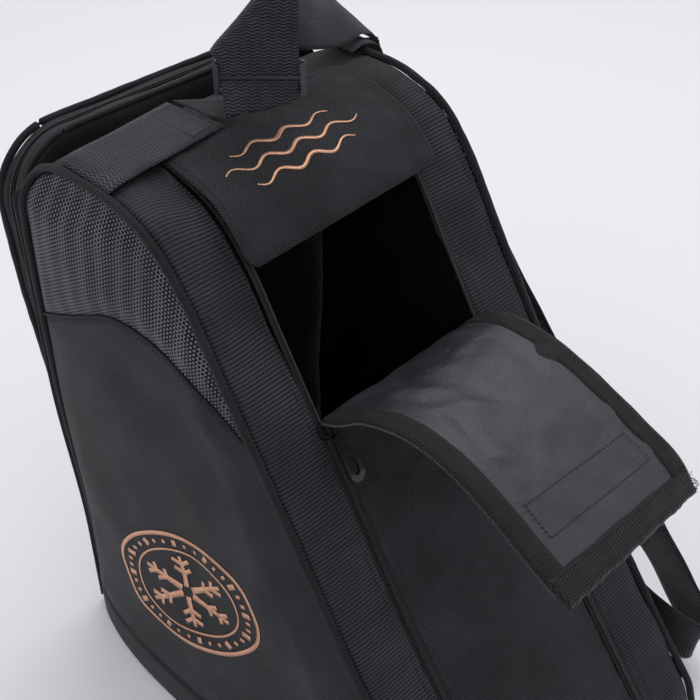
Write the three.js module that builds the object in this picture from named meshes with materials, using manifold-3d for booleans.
// A boot-shaped skate bag: two side panels joined by one constant-width strip that runs from the
// top, down the slanting front, to the toe. Millimetres, +Z up, front towards -Y, origin on the
// floor under the middle of the base.
import * as THREE from "three";
import { mergeVertices } from "three/addons/utils/BufferGeometryUtils.js";
import Module from "manifold-3d";

// ---- driving dimensions ----
const HALF_WIDTH = 125; // to the middle of the piping
const PANEL = 3; // padded fabric panel
const GAP = 0.3; // between neighbouring pieces
const PIPING_R = 2.8;
const REAR_SPREAD = 11; // the sides are this much further out at the rear edge
const DOOR_TWIST = 9; // the opened door hangs this much lower on its right
const BASE_T = 4;
const BAND_TOP = 34.4; // top of the base band
const FLARE = 26; // how far the sides stand out at the base
const FLARE_PEAK = 0.62; // below 1 moves the widest place of the flare backwards
const FLARE_FADE = 150; // height over which the flare halves
const EDGE_BLEND = 60; // the flare starts this far behind the front piping
const ZIP_X = 73.2; // centre line of each front zip
const ZIP_TAPE = 3.1;
const FOLD_Y = -17.6; // the fold that the front door hangs on
const TOP_START_Z = 392; // where the top panel starts, behind the rear top corner
const WALL_TOP = 402; // the back wall meets both rear pipings up to here
const SEAM_Y = 131.5; // rear end of the mouth, under the flap
const FLAP = { left: -77, right: 93, seam: 134, hinge: 100, end: 38, clear: 0.6, thick: 2 };
const DOOR = { half: 66, tape: 72.4, thick: 2.4, band: 23, patchFrom: 42, patch: [102, 24] };
const WEBBING = 50; // strap width
const WEB_T = 2;
const RIM_SINK = 5; // the rim's rear edge is this much lower than its front edge
const RIM = { top: 421, wide: 132, wideZ: 345, narrow: 114, low: 62, corner: 45, wall: 3 };
const BACK = { front: 190, thick: 2.4 };
const POCKET = { front: 192.7, topDepth: 28.5, lowDepth: 8 }; // depth grows from bottom to top
const REAR_SLIDER = { rise: 24, shift: 1.2 }; // above the rim's end, and behind its zip's middle
const EMBLEM = { y: 45, z: 140, long: 78, short: 46, tilt: THREE.MathUtils.degToRad(22) };

// Outline of each side, and the outer line of the strip between them: up the rear edge, round the
// rear top corner, along the top and down the slanting front to the toe. Points are [y, z].
const STRIP_LINE = [
  [185, 38], [185, 200], [185, 385], [179, 409], [158, 420.5], [129, 422.5], [100, 421],
  [66, 409], [40, 383], [10, 336], [-44, 251], [-101, 159], [-150, 95], [-192, 42], [-209, 21],
  [-215, 5],
];
// Lower edge of the mesh vent on each side.
const VENT_LINE = [[186, 303], [140, 325], [100, 342], [58, 338], [25, 322], [-8, 300]];
// Middle line of the opened front door.
const DOOR_LINE = [
  [-16, 297.5], [-24, 307], [-42, 313.5], [-70, 317.5], [-100, 316], [-135, 306], [-170, 289],
  [-208, 264],
];

// ---- materials ----
const finish = (color, roughness, metalness = 0) =>
  new THREE.MeshStandardMaterial({ color, roughness, metalness });
const polyester = () => finish(0x26262b, 0.85);
const sandwichMesh = () => finish(0x1c1c20, 0.9);
const lining = () => finish(0x111114, 0.8);
const coatedLining = () => finish(0x4d4d53, 0.45);
const webbing = () => finish(0x1e1e21, 0.8);
const coilZip = () => finish(0x18181b, 0.5);
const blackMetal = () => finish(0x2a2a2e, 0.3, 0.8);
const mouldedPlastic = () => finish(0x37373b, 0.45);
const foil = () => finish(0xd9a184, 0.3, 0.7);
const board = () => finish(0x303033, 0.6);

// ---- solids ----
const wasm = await Module();
wasm.setup();

const asArrays = (geometry) => {
  const bare = geometry.clone();
  for (const name of ["normal", "uv"]) bare.deleteAttribute(name);
  return mergeVertices(bare, 1e-4);
};

const toManifold = (geometry) => {
  const merged = asArrays(geometry);
  return new wasm.Manifold(
    new wasm.Mesh({
      numProp: 3,
      vertProperties: merged.attributes.position.array,
      triVerts: new Uint32Array(merged.index.array),
    }),
  );
};

const fromManifold = (solid) => {
  const mesh = solid.getMesh();
  const geometry = new THREE.BufferGeometry();
  geometry.setAttribute("position", new THREE.BufferAttribute(mesh.vertProperties, 3));
  geometry.setIndex(new THREE.BufferAttribute(mesh.triVerts, 1));
  geometry.computeVertexNormals();
  return geometry;
};

const signedVolume = (geometry) => {
  const p = geometry.attributes.position;
  const [a, b, c] = [0, 1, 2].map(() => new THREE.Vector3());
  let sum = 0;
  for (let i = 0; i < geometry.index.count; i += 3) {
    a.fromBufferAttribute(p, geometry.index.getX(i));
    b.fromBufferAttribute(p, geometry.index.getX(i + 1));
    c.fromBufferAttribute(p, geometry.index.getX(i + 2));
    sum += a.dot(b.cross(c));
  }
  return sum;
};

// Moves every vertex of a closed geometry by place(x, y, z), and keeps its faces pointing out.
const warp = (geometry, place) => {
  const solid = asArrays(geometry);
  const p = solid.attributes.position;
  for (let i = 0; i < p.count; i++) p.setXYZ(i, ...place(p.getX(i), p.getY(i), p.getZ(i)));
  if (signedVolume(solid) < 0) {
    const index = solid.index;
    for (let i = 0; i < index.count; i += 3) {
      const first = index.getX(i);
      index.setX(i, index.getX(i + 1));
      index.setX(i + 1, first);
    }
  }
  solid.computeVertexNormals();
  return solid;
};

// A sheet: place(u, v, w) with u and v across it and w through its thickness, each 0 to 1.
const sheet = (nu, nv, place) =>
  warp(new THREE.BoxGeometry(1, 1, 1, nu, nv, 1), (x, y, z) => place(x + 0.5, y + 0.5, z + 0.5));

const lerp = THREE.MathUtils.lerp;
const smooth = (x) => THREE.MathUtils.smoothstep(x, 0, 1);

// A smooth line in the y-z plane, with its length, places and outward normals.
class Line {
  constructor(points) {
    const vectors = points.map(([y, z]) => new THREE.Vector3(0, y, z));
    this.curve = new THREE.CatmullRomCurve3(vectors, false, "centripetal");
    this.curve.arcLengthDivisions = 600;
    this.length = this.curve.getLength();
  }
  // The point a distance s along the line and a depth under it, as [y, z].
  at(s, depth = 0) {
    const t = THREE.MathUtils.clamp(s / this.length, 0, 1);
    const p = this.curve.getPointAt(t);
    const d = this.curve.getTangentAt(t);
    return [p.y - depth * d.z, p.z + depth * d.y];
  }
  // The distance along the line where it passes coordinate c (0 for y, 1 for z) = value.
  where(c, value) {
    let [low, high] = [0, this.length];
    for (let i = 0; i < 40; i++) {
      const middle = (low + high) / 2;
      if (this.at(middle)[c] > value) low = middle;
      else high = middle;
    }
    return low;
  }
  // The distance along the rising rear edge to height z.
  rise(z) {
    let [low, high] = [0, this.length / 2];
    for (let i = 0; i < 40; i++) {
      const middle = (low + high) / 2;
      if (this.at(middle)[1] < z) low = middle;
      else high = middle;
    }
    return low;
  }
  // The height of the line at y, when it is moved inwards by depth.
  height(y, depth = 0) {
    let [low, high] = [0, this.length];
    for (let i = 0; i < 30; i++) {
      const middle = (low + high) / 2;
      if (this.at(middle, depth)[0] > y) low = middle;
      else high = middle;
    }
    return this.at(low, depth)[1];
  }
}

const strip = new Line(STRIP_LINE);
const vent = new Line(VENT_LINE);
const door = new Line(DOOR_LINE);
const foldAt = strip.where(0, FOLD_Y);
const topAt = strip.rise(TOP_START_Z);
const mouthAt = strip.where(0, SEAM_Y);
const stripEnd = strip.length - GAP;

// A band of the strip between x0 and x1, from s0 to s1 along a line, from depth d0 to d1.
const along = (line, x0, x1, s0, s1, d0, d1, steps) =>
  sheet(1, steps, (u, v, w) => [lerp(x0, x1, u), ...line.at(lerp(s0, s1, v), lerp(d0, d1, w))]);

// The same for the opened door, which hangs lower on its right side.
const onDoor = (x0, x1, s0, s1, d0, d1, steps) =>
  sheet(4, steps, (u, v, w) => {
    const x = lerp(x0, x1, u);
    const s = lerp(s0, s1, v);
    const [y, z] = door.at(s, lerp(d0, d1, w));
    return [x, y, z - DOOR_TWIST * (x / DOOR.tape) * smooth(s / 70)];
  });

// ---- the flared sides ----
const REAR_Y = STRIP_LINE[0][0];
const TOE_Y = STRIP_LINE.at(-1)[0];
const flare = (y, z) => {
  const run = THREE.MathUtils.clamp((REAR_Y - y) / (REAR_Y - TOE_Y), 0, 1);
  const plan = Math.sin(Math.PI * run ** FLARE_PEAK);
  const fade = 1 / (1 + (Math.max(z - BAND_TOP, 0) / FLARE_FADE) ** 1.6);
  const below = Math.max(strip.height(y, 0) - z, 0);
  const low = 1 - smooth((z - BAND_TOP) / 90);
  return FLARE * plan * fade * smooth((below + 30 * low) / EDGE_BLEND);
};
// The sides spread towards the rear edge, most of all between a third and all of their height.
const spread = (y, z) => {
  const back = smooth((y - 40) / 140);
  const height = (0.3 + 0.7 * smooth((z - 80) / 170)) * smooth((416 - z) / 26);
  return REAR_SPREAD * back * height;
};
const sideX = (y, z) => HALF_WIDTH + flare(y, z) + spread(y, z);

// One upright skin on a side: columns at equal steps in y, between two heights.
const sideSkin = (side, yRear, yFront, low, high, inset, thick, columns, rows) =>
  sheet(columns, rows, (u, v, w) => {
    const y = lerp(yRear, yFront, u);
    const z = lerp(low(y), high(y), v);
    return [side * (sideX(y, z) - inset - thick * w), y, z];
  });

const ventHeight = (y) => vent.at(vent.where(0, y))[1];
const underPiping = (y) => strip.height(y, PIPING_R + 0.9);
const underStrip = (y) => strip.height(y, PANEL + 1.2);
const underVent = (y) => Math.min(ventHeight(y) - 1, underPiping(y));
const REAR_EDGE = REAR_Y - PIPING_R - 0.6; // rear end of the side panels
const VENT_FRONT = 0;
const PANEL_FRONT = -186;
const BAND_FRONT = -198;
const LINING_FRONT = -160;

// ---- the rear pocket ----
// The pocket's outline seen from behind, moved outwards by grow.
const rimPath = (grow) => {
  const path = new THREE.Path();
  const wide = RIM.wide + grow;
  const top = RIM.top + grow;
  const r = RIM.corner + grow;
  path.moveTo(-RIM.narrow - grow, RIM.low);
  path.lineTo(-wide, RIM.wideZ);
  path.lineTo(-wide, top - r);
  path.absarc(-wide + r, top - r, r, Math.PI, Math.PI / 2, true);
  path.absarc(wide - r, top - r, r, Math.PI / 2, 0, true);
  path.lineTo(wide, RIM.wideZ);
  path.lineTo(RIM.narrow + grow, RIM.low);
  return path.getPoints(6);
};
// Depth of the pocket at height z; share 0 is its front and 1 its rear face.
const pocketY = (z, share) => {
  const up = (z - RIM.low) / (RIM.top - RIM.low);
  return POCKET.front + share * lerp(POCKET.lowDepth, POCKET.topDepth, up);
};
// The rim sinks a little towards its rear face.
const sink = (z, share) => z - RIM_SINK * share * smooth((z - 300) / 100);
// A wall that follows the rim, open at the bottom, between two shares of the pocket's depth.
const rimBand = (grow, wall, from, to) => {
  const outline = [...rimPath(grow), ...rimPath(grow - wall).reverse()];
  const shape = new THREE.Shape(outline);
  const solid = new THREE.ExtrudeGeometry(shape, { depth: 1, bevelEnabled: false });
  return warp(solid, (x, z, w) => {
    const share = lerp(from, to, w);
    return [x, pocketY(z, share), sink(z, share)];
  });
};
const rimPlate = (grow, lean, yOf) => {
  const solid = new THREE.ExtrudeGeometry(new THREE.Shape(rimPath(grow)), {
    depth: 1,
    bevelEnabled: false,
  });
  return warp(solid, (x, z, w) => [x, yOf(z, w), sink(z, lean)]);
};

// ---- ribbons of webbing ----
// Stations are [centre, edge direction]; the ribbon is WEBBING wide across the edge direction.
const ribbon = (stations, steps, width = WEBBING) => {
  const vectors = (k) => stations.map((s) => new THREE.Vector3(...s[k]));
  const centre = new THREE.CatmullRomCurve3(vectors(0), false, "centripetal");
  const edge = new THREE.CatmullRomCurve3(vectors(1), false, "centripetal");
  return sheet(1, steps, (u, v, w) => {
    const t = centre.getUtoTmapping(v);
    const across = edge.getPoint(t).normalize();
    const run = centre.getTangent(t);
    across.addScaledVector(run, -across.dot(run)).normalize();
    const face = new THREE.Vector3().crossVectors(run, across);
    const p = centre.getPoint(t);
    p.addScaledVector(across, (u - 0.5) * width).addScaledVector(face, (w - 0.5) * WEB_T);
    return p.toArray();
  });
};

// A ribbon between two edges, given as matching points: [left, right] at each station.
const ruled = (rulings, steps) => {
  const [left, right] = [0, 1].map((k) => {
    const points = rulings.map((ruling) => new THREE.Vector3(...ruling[k]));
    return new THREE.CatmullRomCurve3(points, false, "centripetal");
  });
  return sheet(4, steps, (u, v, w) => {
    const p = left.getPoint(v);
    const across = right.getPoint(v).sub(p);
    const run = left.getTangent(v).add(right.getTangent(v));
    const face = new THREE.Vector3().crossVectors(run, across).normalize();
    return p.addScaledVector(across, u).addScaledVector(face, (w - 0.5) * WEB_T).toArray();
  });
};

// The tri-glide stands upright: its middle, its long direction and the way the strap runs. Its
// two end posts are thicker than its bars, outside the edges of the webbing.
const GLIDE = {
  at: [3.6, 112.4, 452], long: [0.703, -0.711, 0], run: [0, 0, -1], size: [58, 24, 3.4],
  post: [3.2, 6.4],
};
// The strap rises flat from the tri-glide, folds back on a slant and comes down behind it to the
// right piping.
const ARCH = [
  [[-16.3, 128, 454], [18.9, 92.4, 454]],
  [[-16.3, 128, 459], [18.9, 92.4, 487]],
  [[-16.3, 128, 463.5], [18.9, 92.4, 521]],
  [[-17.5, 132.1, 466.8], [17.7, 96.5, 524.2]],
  [[-15, 136.7, 468.1], [20.2, 101.1, 525.6]],
  [[-10.4, 139.1, 466.8], [24.8, 103.5, 524.2]],
  [[-6.4, 137.8, 463.5], [28.8, 102.2, 521]],
  [[30, 138, 456], [60, 128, 502]],
  [[70, 136, 441], [92, 154, 484]],
  [[104, 138, 433], [112, 176, 467]],
  [[126, 142, 433], [128, 184, 455]],
  [[139, 146, 431], [140, 189, 441]],
  [[149.5, 147, 424], [149.5, 196, 424]],
];
// Slack webbing: down over the tri-glide's lower bar, and back to the anchor's hem.
const SLACK = [
  [[-16.3, 128, 450.8], [18.9, 92.4, 450.8]],
  [[-19.5, 121.5, 440], [19.2, 92, 445]],
  [[-22.5, 118, 432], [15.5, 94, 437.5]],
  [[-24, 121, 430], [0, 122, 435]],
  [[-26.6, 126, 430.2], [-30.5, 161, 430.6]],
];
// The loop on the right side: the inner layer runs down and forward from the anchor, turns
// beside the toe, and the outer layer runs back up to the arch.
const LOOP = [
  [[144.5, 168, 403], [0, 1, 0]],
  [[145, 165, 385], [0, 0.97, -0.1]],
  [[145.5, 148, 360], [0, 0.9, -0.4]],
  [[146, 100, 305], [0, 0.83, -0.55]],
  [[152, 40, 205], [0, 0.8, -0.6]],
  [[157, -40, 105], [0, 0.62, -0.78]],
  [[150, -120, 46], [0, 0.45, -0.88]],
  [[147, -170, 34], [0, 0.3, -0.95]],
  [[155, -196, 31], [0, 0.2, -0.98]],
  [[167, -190, 35], [0.1, 0.4, -0.9]],
  [[174, -165, 52], [0.2, 0.55, -0.75]],
  [[178, -130, 83], [0.2, 0.6, -0.72]],
  [[177, -40, 165], [0.1, 0.66, -0.7]],
  [[168, 40, 262], [0, 0.75, -0.6]],
  [[158, 105, 345], [0, 0.85, -0.5]],
  [[153, 150, 380], [0, 0.92, -0.35]],
  [[151, 166, 398], [0, 1, -0.05]],
  [[149.5, 172, 413], [0, 1, 0]],
];

// ---- zip sliders ----
// A slider on a zip: two plates, a bridge between them and a bail on top. Local x is across the
// zip, y along it (towards the closed end), z out of the surface.
const SLIDER = { width: 11, length: 13, plate: 1.6, lift: 0.5, bail: 3.4 };
const PULL = { length: 36, width: 12, wire: 2.2 };

const joined = (...geometries) =>
  fromManifold(
    geometries.map((g) => toManifold(g)).reduce((whole, piece) => whole.add(piece)),
  );

const block = (sx, sy, sz, x, y, z) =>
  new THREE.BoxGeometry(sx, sy, sz).translate(x, y, z);

const sliderSolid = () => {
  const low = SLIDER.lift;
  const top = low + SLIDER.plate;
  const crown = new THREE.Shape();
  crown.moveTo(-SLIDER.width / 2, -SLIDER.length / 2 + 3);
  crown.lineTo(-SLIDER.width / 2, 0);
  crown.quadraticCurveTo(-SLIDER.width / 2, 4, -3, SLIDER.length / 2);
  crown.lineTo(3, SLIDER.length / 2);
  crown.quadraticCurveTo(SLIDER.width / 2, 4, SLIDER.width / 2, 0);
  crown.lineTo(SLIDER.width / 2, -SLIDER.length / 2 + 3);
  crown.quadraticCurveTo(0, -SLIDER.length / 2 - 1, -SLIDER.width / 2, -SLIDER.length / 2 + 3);
  const plate = new THREE.ExtrudeGeometry(crown, {
    depth: SLIDER.plate, bevelEnabled: false, curveSegments: 4,
  }).translate(0, 0, low);
  const legs = [-4.2, 4.2].map((y) => block(3, 1.6, SLIDER.bail + 0.4, 0, y, top + 1.7));
  const roof = block(3, 10, 1.4, 0, 0, top + SLIDER.bail + 0.4);
  return joined(plate, ...legs, roof);
};

// The pull: a teardrop plate with an oval window.
const pullSolid = () => {
  const outline = new THREE.Shape();
  outline.moveTo(-2.6, 0.3);
  outline.lineTo(-3.4, 8);
  outline.quadraticCurveTo(-PULL.width / 2, 18, -PULL.width / 2, 25);
  outline.absarc(0, PULL.length - PULL.width / 2, PULL.width / 2, Math.PI, 0, true);
  outline.quadraticCurveTo(PULL.width / 2, 18, 3.4, 8);
  outline.lineTo(2.6, 0.3);
  const window = new THREE.EllipseCurve(0, 24, 3.6, 7.5);
  outline.holes.push(new THREE.Path(window.getPoints(16).slice(1)));
  return new THREE.ExtrudeGeometry(outline, {
    depth: PULL.wire, bevelEnabled: false, curveSegments: 6,
  });
};

// ---- the assembly ----
const bag = new THREE.Group();
const add = (name, geometry, material, parent = bag) => {
  const mesh = new THREE.Mesh(geometry, material);
  mesh.name = name;
  parent.add(mesh);
  return mesh;
};

const STRIP_X = HALF_WIDTH - PIPING_R - 0.5; // half width of the strip inside the pipings
const GUSSET_X = ZIP_X + ZIP_TAPE + 0.7; // inner edge of each gusset
const PANEL_X = ZIP_X - ZIP_TAPE - 0.7; // half width of the middle panel

function addStrip() {
  const top = sheet(8, 10, (u, v, w) => {
    const [y, z] = strip.at(lerp(topAt, mouthAt - GAP, v), PANEL * w);
    const half = STRIP_X - 1 + spread(...strip.at(lerp(topAt, mouthAt - GAP, v)));
    return [lerp(-half, half, u), y, z];
  });
  add("top_panel", top, polyester());
  const middle = [-PANEL_X, PANEL_X, foldAt + 1, stripEnd, 0, PANEL, 12];
  add("front_panel", along(strip, ...middle), polyester());
  for (const [side, sign] of [["left", -1], ["right", 1]]) {
    const gusset = [sign * GUSSET_X, sign * STRIP_X, mouthAt, stripEnd, 0, PANEL, 24];
    add(`${side}_gusset`, along(strip, ...gusset), polyester());
    const outer = [sign * (ZIP_X + 0.2), sign * (ZIP_X + 0.2 + ZIP_TAPE)];
    add(`${side}_gusset_zip`, along(strip, ...outer, mouthAt, stripEnd, 0, PANEL, 24), coilZip());
    const inner = [sign * (ZIP_X - 0.2), sign * (ZIP_X - 0.2 - ZIP_TAPE)];
    const closed = [foldAt + 1, stripEnd, 0, PANEL, 12];
    add(`${side}_panel_zip`, along(strip, ...inner, ...closed), coilZip());
    add(`${side}_piping`, pipingSolid(sign), polyester());
  }
}

function pipingSolid(sign) {
  const points = [];
  const steps = 60;
  for (let i = 0; i <= steps; i++) {
    const [y, z] = strip.at((i / steps) * stripEnd);
    points.push(new THREE.Vector3(sign * (HALF_WIDTH + spread(y, z)), y, z));
  }
  const section = new THREE.Shape();
  section.absarc(0, 0, PIPING_R, 0, Math.PI * 2);
  return new THREE.ExtrudeGeometry(section, {
    steps,
    curveSegments: 4,
    bevelEnabled: false,
    extrudePath: new THREE.CatmullRomCurve3(points),
  });
}

function addDoor() {
  const t = DOOR.thick / 2;
  const end = door.length - DOOR.band;
  const half = DOOR.half;
  add("front_door", onDoor(-half, half, 0, end - GAP, -t, t, 16), coatedLining());
  for (const [side, sign] of [["left", -1], ["right", 1]]) {
    const tape = [sign * (half + GAP), sign * DOOR.tape, 0, end - GAP, -t, t, 16];
    add(`${side}_door_zip`, onDoor(...tape), coilZip());
  }
  const reach = DOOR.tape + 1;
  add("door_hook_band", onDoor(-reach, reach, end, door.length, -t, t, 3), webbing());
  const [long, wide] = DOOR.patch;
  const from = door.length - DOOR.patchFrom - wide;
  const patch = [-long / 2, long / 2, from, from + wide, t + GAP, t + GAP + 1.4, 3];
  add("door_hook_patch", onDoor(...patch), webbing());
}

function addFlap() {
  const { left, right, seam, hinge, end, clear, thick } = FLAP;
  const [seamAt, hingeAt, endAt] = [seam, hinge, end].map((y) => strip.where(0, y));
  const depths = [-clear, -clear - thick];
  const sewn = [left, right, seamAt, hingeAt - GAP, ...depths, 4];
  add("flap_sewn_edge", along(strip, ...sewn), polyester());
  add("print_flap", along(strip, left, right, hingeAt, endAt, ...depths, 10), polyester());
  const patchAt = strip.where(0, 66);
  const patch = [-50, 50, patchAt, patchAt + 25, -clear + GAP, -clear + GAP + 1.2, 3];
  add("flap_loop_patch", along(strip, ...patch), webbing());
}

function addSides() {
  const base = () => BASE_T + GAP;
  const bandTop = (y) => Math.min(BAND_TOP, underPiping(y));
  const panelLow = () => BAND_TOP + GAP;
  for (const [side, sign] of [["left", -1], ["right", 1]]) {
    const skin = (...rest) => sideSkin(sign, REAR_EDGE, ...rest);
    const panel = skin(PANEL_FRONT, panelLow, underVent, 0, PANEL, 22, 8);
    add(`${side}_side_panel`, panel, polyester());
    const top = (y) => Math.max(underPiping(y), ventHeight(y) + 1.5);
    const mesh = skin(VENT_FRONT, ventHeight, top, 0, PANEL, 14, 4);
    add(`${side}_mesh_vent`, mesh, sandwichMesh());
    const band = sideSkin(sign, REAR_Y + 3, BAND_FRONT, base, bandTop, 0, PANEL, 20, 1);
    add(`${side}_base_band`, band, polyester());
    const inner = sideSkin(sign, REAR_EDGE - 8, LINING_FRONT, () => BASE_T + 4, underStrip,
      PANEL + 2.4, 0.8, 22, 8);
    add(`${side}_lining`, inner, lining());
  }
}

// The base, a flat plate whose sides follow the flare, and the board that stiffens it.
function addBase() {
  const toe = TOE_Y + 4;
  const plan = (inset, low, high) =>
    sheet(8, 24, (u, v, w) => {
      const y = lerp(REAR_Y + 3 - inset, toe + inset, v);
      const half = sideX(y, 0) - inset;
      const corner = smooth((1 - v) * 14 + 0.35);
      return [lerp(-half, half, u) * corner, y, lerp(low, high, w)];
    });
  add("base_panel", plan(0, 0, BASE_T), polyester());
  add("base_board", plan(12, BASE_T + GAP, BASE_T + GAP + 2), board());
}

function addPocket() {
  const back = (z, w) => BACK.front + BACK.thick * w;
  const wall = sheet(1, 16, (u, v, w) => {
    const z = lerp(BASE_T + GAP, WALL_TOP, v);
    const half = HALF_WIDTH + spread(REAR_Y, z) + PIPING_R;
    return [lerp(-half, half, u), back(z, w), z];
  });
  add("back_panel", joined(rimPlate(0, 0, back), wall), polyester());
  add("pocket_gusset", rimBand(0, RIM.wall, 0, 0.42), polyester());
  add("pocket_zip", rimBand(1, RIM.wall, 0.44, 0.58), coilZip());
  add("cover_gusset", rimBand(0, RIM.wall, 0.6, 0.86), polyester());
  add("cover_piping", rimBand(2, RIM.wall + 2, 0.88, 1), polyester());
  const plate = rimPlate(-RIM.wall - 1, 0.95, (z, w) => pocketY(z, 0.99) - 2.4 * w);
  add("rear_cover", plate, polyester());
}

// A slider and its pull, placed by a frame: origin on the surface, y along the zip.
function addSlider(name, origin, alongZip, out, lean) {
  const across = new THREE.Vector3().crossVectors(alongZip, out);
  const seat = new THREE.Group();
  seat.matrixAutoUpdate = false;
  seat.matrix.makeBasis(across, alongZip, out).setPosition(...origin);
  bag.add(seat);
  add(`${name}_slider`, sliderSolid(), blackMetal(), seat);
  const pull = add(`${name}_pull`, pullSolid(), blackMetal(), seat);
  const roof = SLIDER.lift + SLIDER.plate + SLIDER.bail + 1.5;
  pull.position.set(0, 4, roof);
  pull.rotation.set(-0.09, 0, lean);
}

function addSliders() {
  const at = foldAt + 6;
  const [y, z] = strip.at(at);
  const [y2, z2] = strip.at(at + 60);
  const down = new THREE.Vector3(0, y2 - y, z2 - z).normalize();
  const out = new THREE.Vector3(0, down.z, -down.y);
  addSlider("left", [-ZIP_X, y, z], down, out, 0.2);
  addSlider("right", [ZIP_X, y, z], down, out, -0.1);
  const side = new THREE.Vector3(RIM.wide - RIM.narrow, 0, RIM.wideZ - RIM.low).normalize();
  const outwards = new THREE.Vector3(side.z, 0, -side.x);
  const low = RIM.low + REAR_SLIDER.rise;
  const x = lerp(RIM.narrow, RIM.wide, (low - RIM.low) / (RIM.wideZ - RIM.low)) + 1.9;
  addSlider("rear", [x, pocketY(low, 0.51) + REAR_SLIDER.shift, low], side.clone().negate(), outwards, 0);
}

function addStraps() {
  const { at, long, run, size, post } = GLIDE;
  const anchor = ribbon([[[-121, 130, 425.2], [0, 1, 0]], [[-100, 132, 426.6], [0, 1, 0]],
    [[-76, 134, 427.4], [0, 1, 0]], [[-30, 140.5, 427.4], [0, 1, 0.02]]], 8);
  add("left_strap_anchor", anchor, webbing());
  add("strap_slack", ruled(SLACK, 12), webbing());
  add("strap_arch", ruled(ARCH, 36), webbing());
  add("strap_loop", ribbon(LOOP, 54), webbing());
  const tab = ribbon([[[110, 160, 426], [0, 1, 0]], [[124, 160, 428.4], [0, 1, 0]],
    [[137, 160, 423], [0, 1, 0]], [[143, 160, 412], [0, 1, 0]]], 8, WEBBING - 2);
  add("right_strap_anchor", tab, webbing());
  const frame = new THREE.Shape();
  const [l, h, t] = size;
  frame.moveTo(-l / 2 + 4, -h / 2);
  frame.lineTo(l / 2 - 4, -h / 2);
  frame.quadraticCurveTo(l / 2, -h / 2, l / 2, -h / 2 + 4);
  frame.lineTo(l / 2, h / 2 - 4);
  frame.quadraticCurveTo(l / 2, h / 2, l / 2 - 4, h / 2);
  frame.lineTo(-l / 2 + 4, h / 2);
  frame.quadraticCurveTo(-l / 2, h / 2, -l / 2, h / 2 - 4);
  frame.lineTo(-l / 2, -h / 2 + 4);
  frame.quadraticCurveTo(-l / 2, -h / 2, -l / 2 + 4, -h / 2);
  for (const sign of [-1, 1]) {
    const slot = new THREE.Path();
    const middle = sign * 5.4;
    slot.moveTo(-WEBBING / 2 - 0.6, middle - 3.4);
    slot.lineTo(WEBBING / 2 + 0.6, middle - 3.4);
    slot.lineTo(WEBBING / 2 + 0.6, middle + 3.4);
    slot.lineTo(-WEBBING / 2 - 0.6, middle + 3.4);
    frame.holes.push(slot);
  }
  const plate = new THREE.ExtrudeGeometry(frame, {
    depth: t, bevelEnabled: false, curveSegments: 4,
  }).translate(0, 0, -t / 2);
  const [wide, deep] = post;
  const posts = [-1, 1].map((sign) =>
    block(wide, h - 3, deep, (sign * (l - wide)) / 2, 0, (deep - t) / 2),
  );
  const glide = add("tri_glide", joined(plate, ...posts), mouldedPlastic());
  const x = new THREE.Vector3(...long).normalize();
  const z = new THREE.Vector3(...run).cross(x).normalize();
  const y = new THREE.Vector3().crossVectors(z, x);
  glide.matrixAutoUpdate = false;
  glide.matrix.makeBasis(x, y, z).setPosition(...at);
}

function addEmblem() {
  const { y, z, long, short, tilt } = EMBLEM;
  const solid = sheet(10, 10, (u, v, w) => {
    const [a, b] = [2 * u - 1, 2 * v - 1];
    const round = [a * Math.sqrt(1 - (b * b) / 2) * long, b * Math.sqrt(1 - (a * a) / 2) * short];
    const py = y - round[0] * Math.cos(tilt) + round[1] * Math.sin(tilt);
    const pz = z + round[0] * Math.sin(tilt) + round[1] * Math.cos(tilt);
    return [-(sideX(py, pz) + 0.4 + 0.6 * w), py, pz];
  });
  add("left_emblem", solid, foil());
}

addStrip();
addDoor();
addFlap();
addSides();
addBase();
addPocket();
addSliders();
addStraps();
addEmblem();

export default bag;
